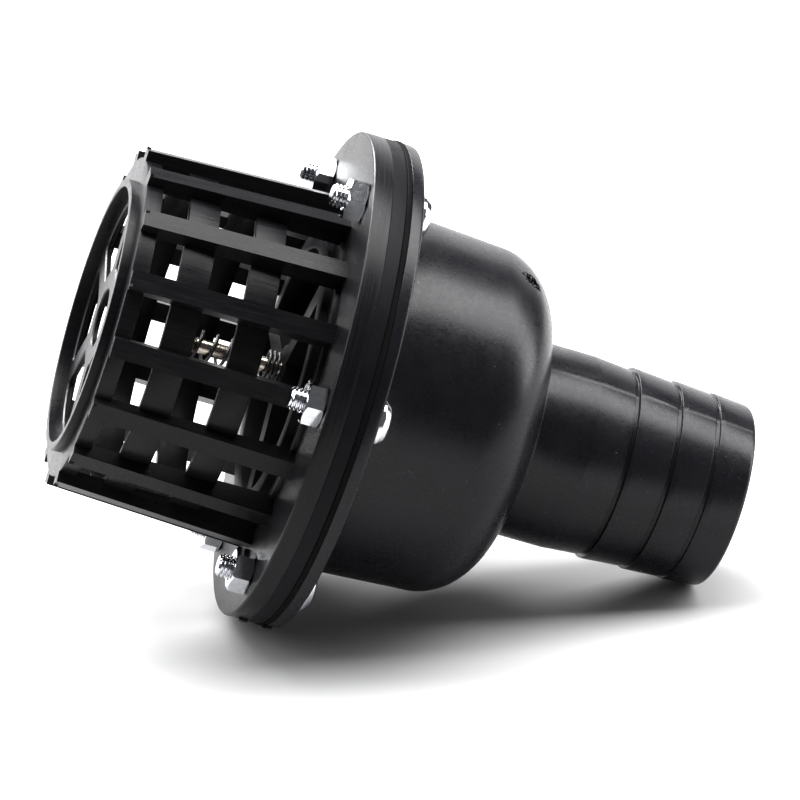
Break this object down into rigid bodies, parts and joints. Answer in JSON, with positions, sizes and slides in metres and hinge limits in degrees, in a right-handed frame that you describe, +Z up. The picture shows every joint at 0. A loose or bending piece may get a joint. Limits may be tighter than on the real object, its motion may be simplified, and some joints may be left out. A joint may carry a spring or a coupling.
{
  "type": "foot valve",
  "caption": "Plastic foot valve with a ribbed cage strainer, bolted round flanges, a spring-loaded disc inside and a barbed tail for a suction hose.",
  "frame": {"origin": "on the floor that the valve lies on, under the middle of its bounding box", "axes": "+Z up; the valve's own axis lies in the XZ plane, its strainer towards -X and raised, its hose tail towards +X and down at 20.9 degrees below level"},
  "size_m": [0.1828, 0.1284, 0.1242],
  "materials": {
    "body_plastic": "black moulded plastic, satin, faintly mottled",
    "strainer_plastic": "black moulded plastic, matte, with fine flow streaks along the ribs",
    "disc_plastic": "black moulded plastic, satin",
    "black_rubber": "dull black sheet rubber",
    "seal_rubber": "dull black moulded rubber",
    "stainless_rod": "drawn stainless rod, faintly warm",
    "spring_wire": "drawn spring wire",
    "bright_zinc": "bright zinc plate"
  },
  "bodies": {
    "housing": {"valve_body": "body_plastic", "flange_gasket": "black_rubber", "seat_plate": "body_plastic", "strainer": "strainer_plastic", "return_spring": "spring_wire", "flange_screw_1": "bright_zinc", "flange_screw_2": "bright_zinc", "flange_screw_3": "bright_zinc", "flange_screw_4": "bright_zinc", "flange_screw_5": "bright_zinc", "flange_screw_6": "bright_zinc", "flange_nut_1": "bright_zinc", "flange_nut_2": "bright_zinc", "flange_nut_3": "bright_zinc", "flange_nut_4": "bright_zinc", "flange_nut_5": "bright_zinc", "flange_nut_6": "bright_zinc"},
    "poppet": {"valve_disc": "disc_plastic", "disc_seal": "seal_rubber", "seal_clamp_plate": "disc_plastic", "disc_nut": "bright_zinc", "valve_stem": "stainless_rod", "spring_washer": "bright_zinc", "lock_nut": "bright_zinc"}
  },
  "joints": [
    {"name": "valve_lift", "type": "slide", "parent": "housing", "child": "poppet", "axis": [0.9344, 0, -0.3564], "range_m": [0, 0.01], "stiffness_N_per_m": 1900, "springref_m": -0.0042, "deforming": ["return_spring"]}
  ]
}
